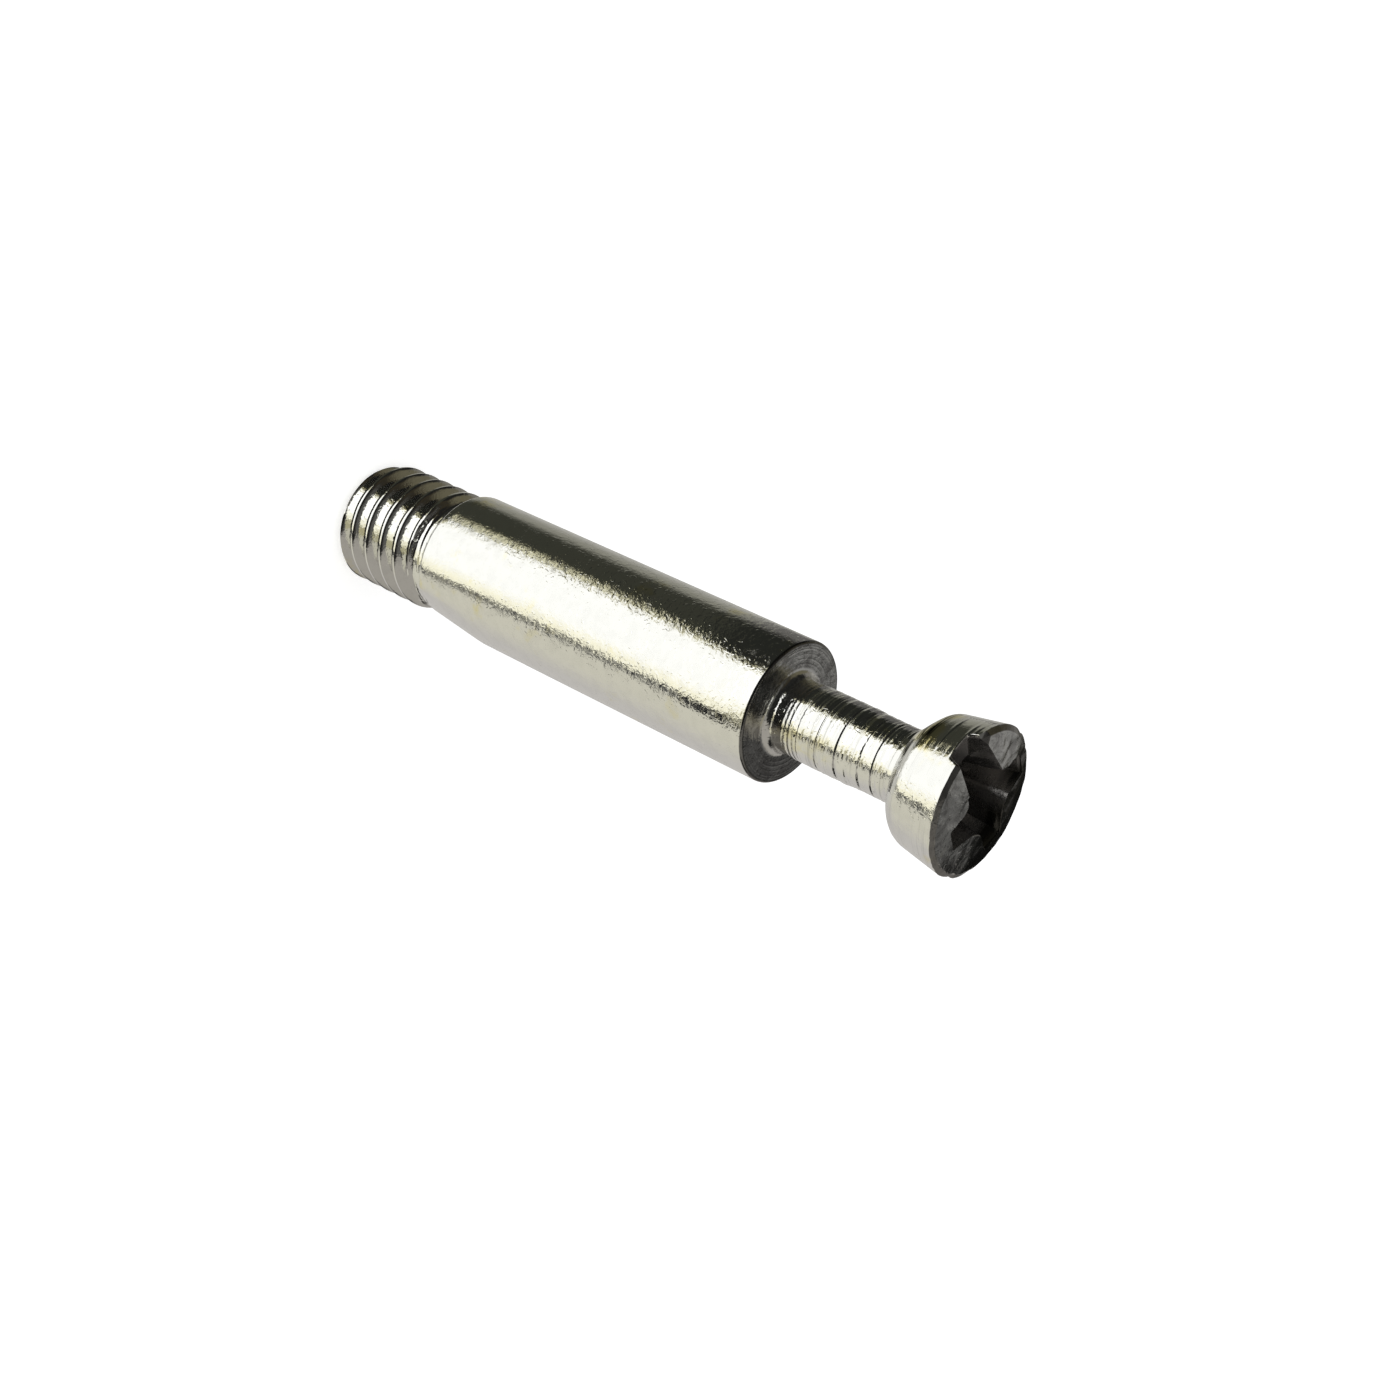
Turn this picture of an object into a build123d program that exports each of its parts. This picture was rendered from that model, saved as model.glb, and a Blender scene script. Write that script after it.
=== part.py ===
from build123d import *
import os
from math import atan, degrees, hypot, radians, tan

# Cam dowel for knock-down furniture, one piece of zinc plated steel.
# It stands on its threaded end: the axis is Z, the foot is at Z = 0 and the head is up.
# Sizes are in millimetres and angles in degrees. Turns are measured from X towards Y.

# Thread, a metric M6 x 1 screw of right-hand lead, rolled on a slimmer rod that shows where it runs out
thread_length = 6.4
thread_diameter = 5.95
thread_pitch = 1.0
thread_depth = 0.54
thread_flank_angle = 60
thread_root_width = 0.25
thread_tip_diameter = 4.9
thread_tip_height = 0.55
thread_start_turn = 338
thread_rod_inset = 0.275
thread_rod_length = 0.65
thread_runout_rise = 0.5
thread_runout_overlap = 0.01

# Shank, the plain barrel between the panels
shank_length = 19.7
shank_diameter = 6.4
shank_taper_length = 0.45
shoulder_edge = 0.08

# Neck, which the cam's claws go round
neck_length = 6.45
neck_diameter = 3.3
neck_root_fillet = 0.4

# Head, which the cam pulls on
head_length = 3.1
head_diameter = 6.58
head_side_draft = 10
head_underside_angle = 18
head_corner_radius = 1.27
head_collar_height = 0.1
head_collar_width = 0.15
head_rim_width = 0.22
head_rim_height = 0.15
head_crown = 0.2

# Cross recess, punched a little off centre, with one wing open through the rim
recess_turn = 56
recess_shift_x = -0.15
recess_shift_y = 0.25
recess_depth = 2.4
recess_wall_angle = 26
recess_point_angle = 60
wing_wall_draft = 8
wing_reach = 2.4
wing_mouth_reach = 1.2
wing_mouth_width = 1.5
wing_end_width = 1.05
wing_end_rounding = 0.25
open_wing_turn = 246
open_wing_shift = 0.15
open_wing_floor_width = 1.1
open_wing_wall_draft = 22
open_wing_rim_depth = 0.48
open_wing_slope = 10

# How far a cutting body passes the surface that it opens
cut_past = 0.5

thread_radius = thread_diameter / 2
thread_rod_radius = thread_radius - thread_rod_inset
thread_tip_radius = thread_tip_diameter / 2
shank_radius = shank_diameter / 2
neck_radius = neck_diameter / 2
head_radius = head_diameter / 2
shank_bottom = thread_length
thread_top = shank_bottom - shank_taper_length
shoulder_height = shank_bottom + shank_length
neck_top = shoulder_height + neck_length
rim_height = neck_top + head_length
face_height = rim_height + head_rim_height
face_radius = head_radius - head_rim_width
top_height = face_height + head_crown


def point_towards(start, end, distance):
    """The point that lies a distance from one point towards another."""
    share = distance / hypot(end[0] - start[0], end[1] - start[1])
    return (start[0] + share * (end[0] - start[0]), start[1] + share * (end[1] - start[1]))


def shank_outline():
    """Outline of the shank, from the taper above the thread to the edge of the shoulder."""
    taper_foot = (thread_rod_radius, thread_top)
    taper_top = (shank_radius, shank_bottom)
    edge_foot = (shank_radius, shoulder_height - shoulder_edge)
    edge_top = (shank_radius - shoulder_edge, shoulder_height)
    return [Line(taper_foot, taper_top), Line(taper_top, edge_foot), Line(edge_foot, edge_top)]


def neck_outline():
    """Outline of the flat shoulder, the fillet at the neck's root and the neck."""
    shoulder_rim = (shank_radius - shoulder_edge, shoulder_height)
    fillet_foot = (neck_radius + neck_root_fillet, shoulder_height)
    fillet_top = (neck_radius, shoulder_height + neck_root_fillet)
    return [
        Line(shoulder_rim, fillet_foot),
        RadiusArc(fillet_foot, fillet_top, neck_root_fillet),
        Line(fillet_top, (neck_radius, neck_top)),
    ]


def head_outline():
    """Outline of the head, from its collar on the neck to the middle of the domed end face."""
    collar_foot = (neck_radius + head_collar_width, neck_top)
    collar_top = (neck_radius + head_collar_width, neck_top + head_collar_height)
    rim = (head_radius, rim_height)
    face_edge = (face_radius, face_height)
    # The sloping underside and the drafted side meet at a corner, which is then rounded.
    out_per_rise = tan(radians(head_side_draft))
    rise_per_out = tan(radians(head_underside_angle))
    side_foot_radius = head_radius - out_per_rise * (rim_height - collar_top[1])
    corner_out = (side_foot_radius - collar_top[0]) / (1 - out_per_rise * rise_per_out)
    corner = (collar_top[0] + corner_out, collar_top[1] + rise_per_out * corner_out)
    corner_turn = 90 - head_side_draft - head_underside_angle
    setback = head_corner_radius * tan(radians(corner_turn / 2))
    arc_foot = point_towards(corner, collar_top, setback)
    arc_top = point_towards(corner, rim, setback)
    dome_radius = (face_radius**2 + head_crown**2) / (2 * head_crown)
    return [
        Line((neck_radius, neck_top), collar_foot),
        Line(collar_foot, collar_top),
        Line(collar_top, arc_foot),
        RadiusArc(arc_foot, arc_top, -head_corner_radius),
        Line(arc_top, rim),
        Line(rim, face_edge),
        RadiusArc(face_edge, (0, top_height), -dome_radius),
    ]


def make_body():
    """Everything above the thread: shank, neck and head, before the recess is punched."""
    outline = [Line((0, thread_top), (thread_rod_radius, thread_top))]
    outline += shank_outline() + neck_outline() + head_outline()
    outline.append(Line((0, top_height), (0, thread_top)))
    return revolve(make_face(Plane.XZ * Wire(outline)), Axis.Z)


def groove_section(plane):
    """Section of the thread's groove, on a plane whose X axis points away from the thread's axis."""
    flank = tan(radians(thread_flank_angle / 2))
    half_root = thread_root_width / 2
    half_mouth = half_root + flank * thread_depth
    past_crest = (thread_pitch / 2 - half_mouth) / (2 * flank)
    half_past = half_mouth + flank * past_crest
    corners = [
        (-thread_depth, half_root),
        (past_crest, half_past),
        (past_crest, -half_past),
        (-thread_depth, -half_root),
    ]
    return make_face(plane * Polyline(*corners, close=True))


def helical_groove(path):
    """The groove swept along one helix."""
    outward = Vector((path @ 0).X, (path @ 0).Y, 0)
    plane = Plane(origin=path @ 0, x_dir=outward, z_dir=path % 0)
    return sweep(groove_section(plane), path=path, is_frenet=True)


def threaded_rod():
    """The threaded end before its groove is cut: chamfered tip, full diameter and the bare rod above."""
    flank_drop = thread_rod_inset * tan(radians(thread_flank_angle / 2))
    rod_foot = thread_top - thread_rod_length
    outline = Polyline(
        (0, 0),
        (thread_tip_radius, 0),
        (thread_radius, thread_tip_height),
        (thread_radius, rod_foot),
        (thread_rod_radius, rod_foot + flank_drop),
        (thread_rod_radius, thread_top),
        (0, thread_top),
        close=True,
    )
    return revolve(make_face(Plane.XZ * outline), Axis.Z)


def make_thread():
    """The threaded end, with a groove that rises out of the metal as it comes to the shank."""
    runout_start = thread_top - thread_runout_rise
    full_rise = runout_start + thread_pitch
    # The full groove passes the start of the run-out a little, so that no wall is left between them.
    full_path = Helix(thread_pitch, full_rise + thread_runout_overlap, thread_radius, center=(0, 0, -thread_pitch))
    thread = threaded_rod() - helical_groove(full_path)
    depth_in_rod = thread_depth - thread_rod_inset
    runout_angle = degrees(atan(depth_in_rod / thread_runout_rise))
    runout_path = Helix(
        thread_pitch, thread_runout_rise, thread_radius, center=(0, 0, runout_start), cone_angle=runout_angle
    )
    thread -= Rot(Z=360 * full_rise / thread_pitch) * helical_groove(runout_path)
    return Rot(Z=thread_start_turn) * thread


def cross_section():
    """The mouth of the recess's four wings, seen from above and not yet turned."""
    corners = []
    for turn in (0, 90, 180, 270):
        wing = [
            (wing_mouth_reach, -wing_mouth_width / 2),
            (wing_reach, -wing_end_width / 2),
            (wing_reach, wing_end_width / 2),
            (wing_mouth_reach, wing_mouth_width / 2),
        ]
        corners += [Vector(*point).rotate(Axis.Z, turn) for point in wing]
    mouth = make_face(Polyline(*corners, close=True))
    wing_ends = mouth.vertices().filter_by(lambda corner: Vector(*corner).length > wing_reach)
    return fillet(wing_ends, wing_end_rounding)


def make_cross_cutter():
    """The cross recess: its straight wings inside a steep cone that ends in a point."""
    cone_slope = tan(radians(recess_wall_angle))
    mouth_radius = hypot(wing_reach, wing_end_width / 2)
    floor_radius = mouth_radius - cone_slope * recess_depth
    point_depth = floor_radius * tan(radians(90 - recess_point_angle))
    floor_height = top_height - recess_depth
    cone_top = top_height + cut_past
    outline = Polyline(
        (0, floor_height - point_depth),
        (floor_radius, floor_height),
        (mouth_radius + cone_slope * cut_past, cone_top),
        (0, cone_top),
        close=True,
    )
    cone = revolve(make_face(Plane.XZ * outline), Axis.Z)
    wings = extrude(Plane.XY * cross_section(), recess_depth + point_depth, dir=(0, 0, -1), taper=wing_wall_draft)
    wings += extrude(cross_section(), cut_past)
    return Pos(0, 0, top_height) * wings & cone


def open_wing_section(out):
    """Section of the open wing at a distance out from the recess's axis: a flat floor between sloping walls."""
    floor = rim_height - open_wing_rim_depth + tan(radians(open_wing_slope)) * (out - head_radius)
    rise = top_height + cut_past - floor
    half_floor = open_wing_floor_width / 2
    half_top = half_floor + tan(radians(open_wing_wall_draft)) * rise
    corners = [(-half_floor, 0), (half_floor, 0), (half_top, rise), (-half_top, rise)]
    plane = Plane(origin=(out, 0, floor), x_dir=(0, 1, 0), z_dir=(1, 0, 0))
    return make_face(plane * Polyline(*corners, close=True))


def make_open_wing_cutter():
    """The wing that runs out through the rim, over a floor that falls towards the middle."""
    outer = head_radius + hypot(recess_shift_x, recess_shift_y) + cut_past
    wing = loft([open_wing_section(0), open_wing_section(outer)])
    return Pos(0, -open_wing_shift, 0) * wing


def make_part():
    """The whole dowel."""
    recess = Rot(Z=recess_turn) * make_cross_cutter() + Rot(Z=open_wing_turn) * make_open_wing_cutter()
    body = make_body() - Pos(recess_shift_x, recess_shift_y, 0) * recess
    return body + make_thread()


os.makedirs("parts", exist_ok=True)
cam_dowel = make_part()
cam_dowel.label = "cam_dowel"
export_step(cam_dowel, "parts/cam_dowel.step")
print("cam_dowel", cam_dowel.bounding_box(), round(cam_dowel.volume, 2), "cubic mm")
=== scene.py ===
import math

import bmesh
import bpy
import numpy as np
from mathutils import Matrix, Vector, noise


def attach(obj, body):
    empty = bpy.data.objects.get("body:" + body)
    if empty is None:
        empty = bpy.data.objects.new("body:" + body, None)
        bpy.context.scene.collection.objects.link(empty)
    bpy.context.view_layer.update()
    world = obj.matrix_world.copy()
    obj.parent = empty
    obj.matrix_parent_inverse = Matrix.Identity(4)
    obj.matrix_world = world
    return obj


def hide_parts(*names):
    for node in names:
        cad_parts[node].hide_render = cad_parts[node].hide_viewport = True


# The dowel stands on its threaded end, with its axis on Z. Its left side is -X and its back is +Y.
# Lengths are in millimetres until a mesh is made.
MM = 0.001
TURN = 2 * math.pi

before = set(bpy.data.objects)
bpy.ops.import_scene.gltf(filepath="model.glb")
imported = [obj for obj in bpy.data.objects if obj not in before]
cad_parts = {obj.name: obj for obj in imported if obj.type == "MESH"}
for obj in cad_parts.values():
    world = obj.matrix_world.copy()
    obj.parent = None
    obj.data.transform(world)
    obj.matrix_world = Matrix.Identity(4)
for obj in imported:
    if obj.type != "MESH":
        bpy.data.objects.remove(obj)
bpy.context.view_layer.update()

# Sizes of the part's source
THREAD_RADIUS = 2.975
THREAD_PITCH = 1.0
THREAD_DEPTH = 0.54
THREAD_ROOT_HALF = 0.125
THREAD_FLANK = math.tan(math.radians(30))
THREAD_TURN = math.radians(338)
TIP_RADIUS = 2.45
TIP_HEIGHT = 0.55
ROD_RADIUS = 2.7
ROD_FOOT = 5.3
THREAD_TOP = 5.95
RUNOUT_RISE = 0.5
SHANK_FOOT = 6.4
SHANK_RADIUS = 3.2
SHOULDER = 26.1
NECK_RADIUS = 1.65
NECK_TOP = 32.55
NECK_FILLET = 0.4
COLLAR_WIDTH = 0.15
COLLAR_HEIGHT = 0.1
UNDERSIDE = math.radians(18)
SIDE_DRAFT = math.radians(10)
CORNER_RADIUS = 1.27
HEAD_RADIUS = 3.29
RIM = 35.65
FACE_RADIUS = 3.07
FACE = 35.8
CROWN = 0.2
TOP = 36.0
RECESS_MIDDLE = (-0.15, 0.25)
RECESS_TURN = math.radians(56)
RECESS_DEPTH = 2.4
RECESS_WALL = math.tan(math.radians(26))
POINT_DEPTH_SHARE = math.tan(math.radians(30))
WING_REACH = 2.4
WING_MOUTH_REACH = 1.2
WING_MOUTH_HALF = 0.75
WING_END_HALF = 0.525
WING_DRAFT = math.tan(math.radians(8))
OPEN_TURN = math.radians(246)
OPEN_SHIFT = 0.15
OPEN_FLOOR_HALF = 0.55
OPEN_DRAFT = math.tan(math.radians(22))
OPEN_RIM_DEPTH = 0.48
OPEN_SLOPE = math.tan(math.radians(10))
DOME_RADIUS = (FACE_RADIUS**2 + CROWN**2) / (2 * CROWN)
RECESS_MOUTH_RADIUS = math.hypot(WING_REACH, WING_END_HALF)

# Roundings of the rolled thread: crests, root, the top of the full thread and its corner with the rod
CREST_ROUNDING = 0.035
ROOT_ROUNDING = 0.08
THREAD_END_ROUNDING = 0.03
ROD_ROUNDING = 0.05
# The last bit of the thread's top is round, to meet the barrel.
THREAD_RING = 0.03

# The shank's rounded taper ends this much above the source's. The shoulder's edge is rounded.
TAPER_OVERRUN = 0.12
SHOULDER_EDGE = 0.13
# On its right side the shank's lower end tapers further up: inwards per millimetre down, top and rounding
SIDE_TAPER = 0.108
SIDE_TAPER_TOP = 9.6
SIDE_TAPER_ROUNDING = 0.04
# Turned marks of the shoulder, radius and depth, and their width
SHOULDER_MARKS = ((2.2, 0.004), (2.42, 0.006), (2.63, 0.003), (2.86, 0.005), (2.97, 0.004))
SHOULDER_MARK_WIDTH = 0.03

# The neck is thicker below its waist and thinner above it, and rough all over.
NECK_SWELL = 0.025
NECK_WAIST = 0.015
WAIST_FROM, WAIST_TO = 3.9, 4.3
NECK_ROUGHNESS = 0.012
# Turned rings of the neck: height above the shoulder, depth and width
NECK_RINGS = (
    (0.75, 0.006, 0.04), (1.14, 0.012, 0.04), (1.57, 0.01, 0.04), (2.13, 0.01, 0.04), (2.6, 0.014, 0.04),
    (3.2, 0.008, 0.03), (4.18, 0.014, 0.04), (5.08, 0.008, 0.03), (5.99, 0.014, 0.04),
)
# Turned steps of the neck, which deepen upwards and then jump back: height, depth and width
NECK_STEPS = ((2.62, 0.014, 0.06), (3.62, 0.034, 0.09), (4.8, 0.036, 0.1), (5.46, 0.026, 0.075))
# A step's rows and its depth there, in widths from its middle
STEP_ROWS = (-1.1, -1, -0.75, -0.5, -0.25, -0.05, 0.05, 0.3, 0.4)
STEP_PLACES, STEP_DEPTHS = (-1, -0.05, 0.05, 0.3), (0, 1, 1, 0)

# Head and barrel meet at this height on the neck.
SEAM = NECK_TOP - 0.3
# Turned marks of the head's side: height above the shoulder, depth and width
HEAD_MARKS = (
    (7.17, -0.008, 0.03), (7.33, 0.003, 0.025), (7.58, 0.004, 0.03), (7.84, 0.004, 0.05), (8.83, 0.002, 0.03),
    (9.35, 0.004, 0.03),
)
# Ridges on the left of the head, height above the shoulder and rise, and their width
SIDE_RIDGES = ((8.28, 0.016), (9.02, 0.018), (9.24, 0.01))
SIDE_RIDGE_WIDTH = 0.06
# On its left the head's underside is leaner: depth, middle above the neck's top and width
UNDERSIDE_LEAN = 0.4
LEAN_MIDDLE = 0.4
LEAN_WIDTH = 0.35
# The head is slimmer than the source's by this much.
HEAD_INSET = 0.003
# Dents of the face and burrs of the rim: depth, and the share, scale and seed of each noise in them
DENT_DEPTH = 0.05
DENTS = ((0.55, 1.1, 1), (0.35, 2.6, 2), (0.1, 6.0, 3))
BURR_DEPTH = 0.07
BURRS = ((1.0, 1.6, 4), (0.4, 5.0, 5))
BURR_WIDTH = 0.12
# Nicks in the rim's edge, turn in degrees and depth, and their width in degrees
RIM_NICKS = ((148.5, 0.05), (8.0, 0.07))
RIM_NICK_WIDTH = 2.5

# The edges of the cuts are rounded over, with rows at these depths below the face.
# Above it a cut spreads on, so many times its height and up to a share of the rounding.
EDGE_ROUNDING = 0.05
EDGE_DEPTHS = (-0.03, -0.01, 0.0, 0.006, 0.015, 0.028, 0.05)
EDGE_SPREAD = 2.5
EDGE_SPREAD_UP_TO = 0.6
# Roundings of the recess's corners, at a wing's mouth and at its end
MOUTH_ROUNDING = 0.26
END_ROUNDING = 0.11
# Just below its edge the recess's wall is upright, and catches a thin line of light.
UPRIGHT_WALL = 0.05
SLOPING_WALL_FROM = 0.3
# The rounded corner between the open wing's floor and a wall: sideways from the corner, and up
FLOOR_CORNER = ((-0.12, 0.0), (-0.03, 0.012), (0.02, 0.08))
# The open wing's upright edges are rounded over so many times more widely.
CORNER_OPENING = 4.0
# A cutting body passes the top of the head by this much.
CUT_PAST = 0.4
# A facet slopes away from this crease to the corner between the rim and the open wing.
FACET_CREASE = -1.45
FACET_SLOPE = math.tan(math.radians(24))
FACET_LIFT = 0.12
FACET_REACH = 2.4
# The tip of the petal beside the open wing, the directions of its two edges and its rounding, which
# gets less with the depth, between two depths. The cutter passes the petal's edges.
PETAL_TIP = (0.34, -1.02)
PETAL_EDGES = ((-0.4067, -0.9135), (0.918, -0.397))
PETAL_ROUNDING = 0.6
PETAL_ROUNDING_LOSS = 0.9
PETAL_FROM, PETAL_TO = -0.3, 1.05
PETAL_PAST = 0.25

# Mesh: columns round the dowel, rows of the thread and the distance between rows elsewhere
COLUMNS = 192
ROWS_PER_PITCH = 20
TAPER_SPACING = 0.35
SHANK_SPACING = 4.0
SHOULDER_SPACING = 0.022
NECK_SPACING = 0.045
UNDERSIDE_SPACING = 0.08
SIDE_SPACING = 0.032
FACE_SPACING = 0.08
MERGE_DISTANCE = 0.002
SHARP_ANGLE = math.radians(38)

# Colours of the plate
ZINC = (0.86, 0.86, 0.83)
ZINC_STAINED = (0.86, 0.8, 0.5)
ZINC_DULL = (0.7, 0.7, 0.68)
FACE_SCUFFED = (0.34, 0.33, 0.32)
# Painted shade inside the punched recess
RECESS_SHADE_COLOUR = (0.3, 0.29, 0.28)
# Painted shade for the rim, the shoulder's edge and right side, and the back of the end face
PAINTED_SHADE_COLOUR = (0.12, 0.115, 0.11)
RING_COLOUR = (0.42, 0.42, 0.4)
# Painted shade for the end face's back right corner and the recess's back, and the colour of the darker
# streaks on the head's left
SHADE_AND_STREAK_COLOUR = (0.07, 0.068, 0.06)

# Colours of the studio that the metal mirrors, below the horizon
BACK_WALL_LEFT = (0.46, 0.45, 0.42)
BACK_WALL_RIGHT = (0.46, 0.45, 0.43)
LEFT_WALL = (0.265, 0.26, 0.22)
LEFT_WALL_HIGH = (0.13, 0.125, 0.12)
SCREEN = (0.04, 0.041, 0.031)
SCREEN_HIGH = (0.019, 0.02, 0.017)
WINDOW_BROWN = (0.3, 0.27, 0.15)
WINDOW_CREAM = (0.76, 0.73, 0.52)
WINDOW = (1.19, 1.19, 1.17)
WINDOW_HIGH = (1.7, 1.7, 1.68)
WINDOW_WARM = (1.1, 1.06, 0.84)
BAR = (0.08, 0.08, 0.078)
BAR_FAINT = (0.28, 0.27, 0.22)
BAR_HIGH = (0.015, 0.015, 0.017)
BAR_TOP = (0.5, 0.47, 0.32)
RIGHT_WALL = (0.65, 0.63, 0.54)
RIGHT_WALL_BACK = (0.56, 0.54, 0.52)
GROUND = (0.6, 0.59, 0.55)
# And above it
DARK = (0.013, 0.013, 0.012)
DARK_BROWN = (0.035, 0.029, 0.018)
CEILING = (0.1, 0.098, 0.092)
GLOW_LEFT = (0.2, 0.19, 0.17)
GLOW_RIGHT = (0.37, 0.35, 0.33)
LEFT_CURTAIN = (0.13, 0.118, 0.078)
SOFT_PATCH = (1.0, 0.98, 0.96)
PALE_WALL = (0.37, 0.35, 0.32)
WHITE = (1.0, 1.0, 1.0)
PLAIN_LIGHT = 0.6

# The camera, fitted to the photograph. Its place is in metres.
CAMERA_PLACE = (0, -0.071916, 0.070252)
CAMERA_RIGHT = (-0.4275, 0.5107, 0.7459)
CAMERA_UP = (-0.9039, -0.2292, -0.3611)
CAMERA_BACK = (-0.0134, -0.8286, 0.5596)
CAMERA_LENS = 51.86
CAMERA_SENSOR = 36
CAMERA_NEAR, CAMERA_FAR = 0.001, 50

# Floor and lamp, in metres
FLOOR_HALF = 3.0
FLOOR_GREY = 0.9
FLOOR_GLOW = 0.5
LAMP_PLACE = (-0.15, -0.1, 0.6)
LAMP_SIZE = 0.6
LAMP_POWER = 0.6


def smooth_step(value, low, high):
    share = np.clip((value - low) / (high - low), 0, 1)
    return share * share * (3 - 2 * share)


def bell(distance, width):
    return np.exp(-((distance / width) ** 2))


def soft_min(a, b, rounding):
    """The smaller of two radii, with their crossing rounded off."""
    gap = np.clip(0.5 + 0.5 * (b - a) / rounding, 0, 1)
    return b + (a - b) * gap - rounding * gap * (1 - gap)


def soft_max(a, b, rounding):
    return -soft_min(-a, -b, rounding)


def wobble(points, scale, seed):
    """Smooth noise between about -1 and 1 at each point, the same on each run."""
    shift = Vector((seed * 17.3, seed * 5.1, seed * 29.7))
    return np.array([noise.noise(Vector(p) * scale + shift) for p in points])


def thread_radius(height, turn):
    """Radius of the rolled thread at a height and a turn about the axis."""
    tip = TIP_RADIUS + (THREAD_RADIUS - TIP_RADIUS) * height / TIP_HEIGHT
    envelope = np.where(height < TIP_HEIGHT, tip, THREAD_RADIUS)
    drop = THREAD_RADIUS - (height - ROD_FOOT) / THREAD_FLANK
    rod = soft_max(drop, np.full_like(drop, ROD_RADIUS), ROD_ROUNDING)
    envelope = soft_min(envelope, rod, THREAD_END_ROUNDING)
    phase = height / THREAD_PITCH - (turn - THREAD_TURN) / TURN
    away = (phase - np.round(phase)) * THREAD_PITCH
    groove_height = height - away
    root = THREAD_RADIUS - THREAD_DEPTH
    flank = root + (np.abs(away) - THREAD_ROOT_HALF) / THREAD_FLANK
    groove = soft_max(flank, np.full_like(flank, root), ROOT_ROUNDING)
    # In the run-out the groove rises out of the metal.
    lift = (groove_height - (THREAD_TOP - RUNOUT_RISE)) / RUNOUT_RISE
    groove = groove + np.clip(lift, 0, 4) * (ROD_RADIUS - root)
    radius = soft_min(envelope, groove, CREST_ROUNDING)
    return radius + (ROD_RADIUS - radius) * smooth_step(height, THREAD_TOP - THREAD_RING, THREAD_TOP)


def grid_faces(rows, columns, closed=True):
    """Faces of a grid of points, row by row. A closed grid joins its last column to its first."""
    faces = []
    span = columns if closed else columns - 1
    for row in range(rows - 1):
        below, above = row * columns, (row + 1) * columns
        for column in range(span):
            after = (column + 1) % columns
            faces.append((below + column, below + after, above + after, above + column))
    return faces


def end_faces(rows, columns):
    """The two faces that close the first and the last row of a grid."""
    return [tuple(reversed(range(columns))), tuple(range((rows - 1) * columns, rows * columns))]


def ring_points(radius, turn, height):
    return np.stack([radius * np.cos(turn), radius * np.sin(turn), height], -1).reshape(-1, 3)


def thread_mesh():
    """The threaded end as rows that follow the helix, pressed flat at the foot and at the rod's top."""
    rows = int((THREAD_TOP + THREAD_PITCH) * ROWS_PER_PITCH / THREAD_PITCH) + 2
    turns = np.linspace(0, TURN, COLUMNS + 1)
    turn = np.broadcast_to(turns, (rows, COLUMNS + 1))
    start = np.arange(rows) * THREAD_PITCH / ROWS_PER_PITCH - THREAD_PITCH
    height = np.clip(start[:, None] + THREAD_PITCH * turns[None, :] / TURN, 0, THREAD_TOP)
    return ring_points(thread_radius(height, turn), turn, height), grid_faces(rows, COLUMNS + 1, closed=False)


def foot_mesh():
    """The flat end face of the thread."""
    turns = np.linspace(0, TURN, COLUMNS, endpoint=False)
    height = np.zeros(COLUMNS)
    return ring_points(thread_radius(height, turns), turns, height), [tuple(reversed(range(COLUMNS)))]


def arc_points(centre, radius, start, end, steps):
    """Points along an arc, between two angles in degrees."""
    angles = np.linspace(math.radians(start), math.radians(end), steps + 1)
    return [(centre[0] + radius * math.cos(a), centre[1] + radius * math.sin(a)) for a in angles]


def spaced(start, end, step):
    """Points along a line, about a step apart."""
    count = max(1, int(round(math.dist(start, end) / step)))
    share = np.linspace(0, 1, count + 1)
    return [(start[0] + s * (end[0] - start[0]), start[1] + s * (end[1] - start[1])) for s in share]


def shank_rows():
    """Radius and height of the rows from the rod's top to the neck: taper, shank, shoulder and fillet."""
    rows = []
    taper_top = SHANK_FOOT + TAPER_OVERRUN
    for share in np.linspace(0, 1, 13):
        radius = ROD_RADIUS + (SHANK_RADIUS - ROD_RADIUS) * float(smooth_step(share, 0, 1))
        rows.append((radius, THREAD_TOP + share * (taper_top - THREAD_TOP)))
    edge_radius, edge_height = SHANK_RADIUS - SHOULDER_EDGE, SHOULDER - SHOULDER_EDGE
    rows += spaced((SHANK_RADIUS, taper_top), (SHANK_RADIUS, SIDE_TAPER_TOP), TAPER_SPACING)
    rows += spaced((SHANK_RADIUS, SIDE_TAPER_TOP), (SHANK_RADIUS, edge_height), SHANK_SPACING)[1:]
    rows += arc_points((edge_radius, edge_height), SHOULDER_EDGE, 0, 90, 4)
    foot = NECK_RADIUS + NECK_FILLET
    for radius, height in spaced((edge_radius, SHOULDER), (foot, SHOULDER), SHOULDER_SPACING):
        marks = sum(depth * bell(radius - middle, SHOULDER_MARK_WIDTH) for middle, depth in SHOULDER_MARKS)
        rows.append((radius, height - marks))
    rows += arc_points((foot, SHOULDER + NECK_FILLET), NECK_FILLET, 270, 180, 16)
    return rows


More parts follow.
